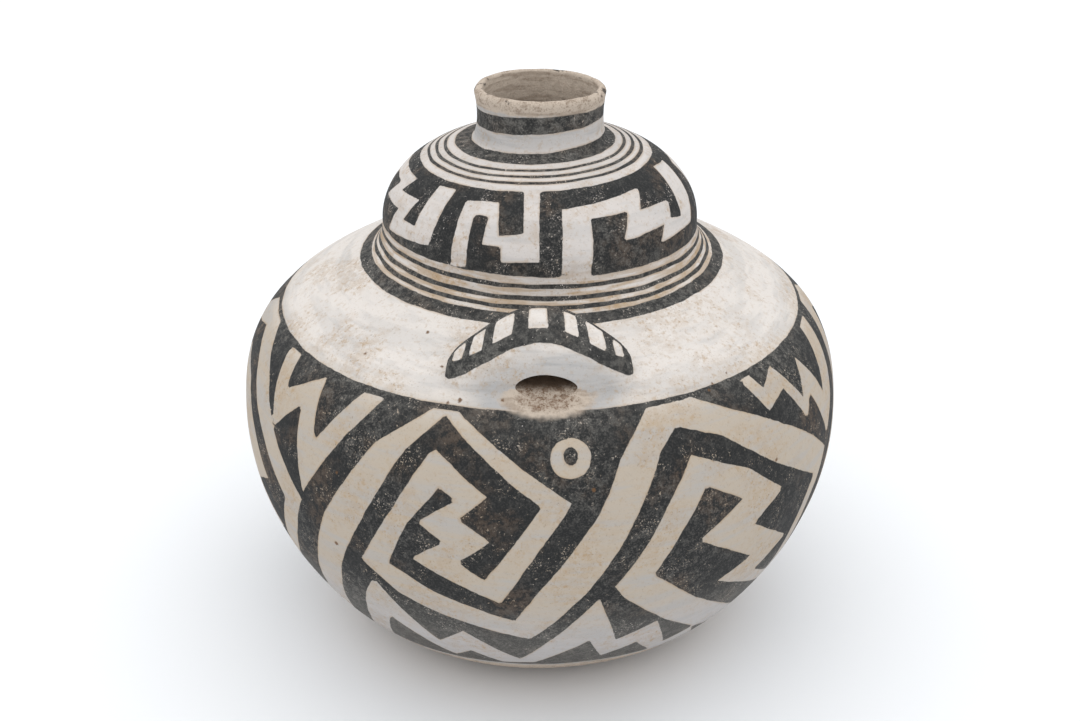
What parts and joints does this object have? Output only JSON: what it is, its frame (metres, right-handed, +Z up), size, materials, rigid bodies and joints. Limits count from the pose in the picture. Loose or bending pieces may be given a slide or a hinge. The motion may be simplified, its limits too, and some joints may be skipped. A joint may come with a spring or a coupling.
{
  "type": "pottery jar",
  "caption": "Round-bellied black-on-white pottery jar with a raised upper lobe, short open neck and arched lug handles with finger hollows.",
  "frame": {"origin": "middle of the flat underside, where the jar's axis meets the surface it stands on", "axes": "+Z up along the jar's axis; -Y through the front lug handle; +X to the right seen from the front"},
  "size_m": [0.34, 0.34, 0.3144],
  "materials": {
    "slipped_clay": null
  },
  "bodies": {
    "root": {"jar": "slipped_clay"}
  },
  "joints": []
}
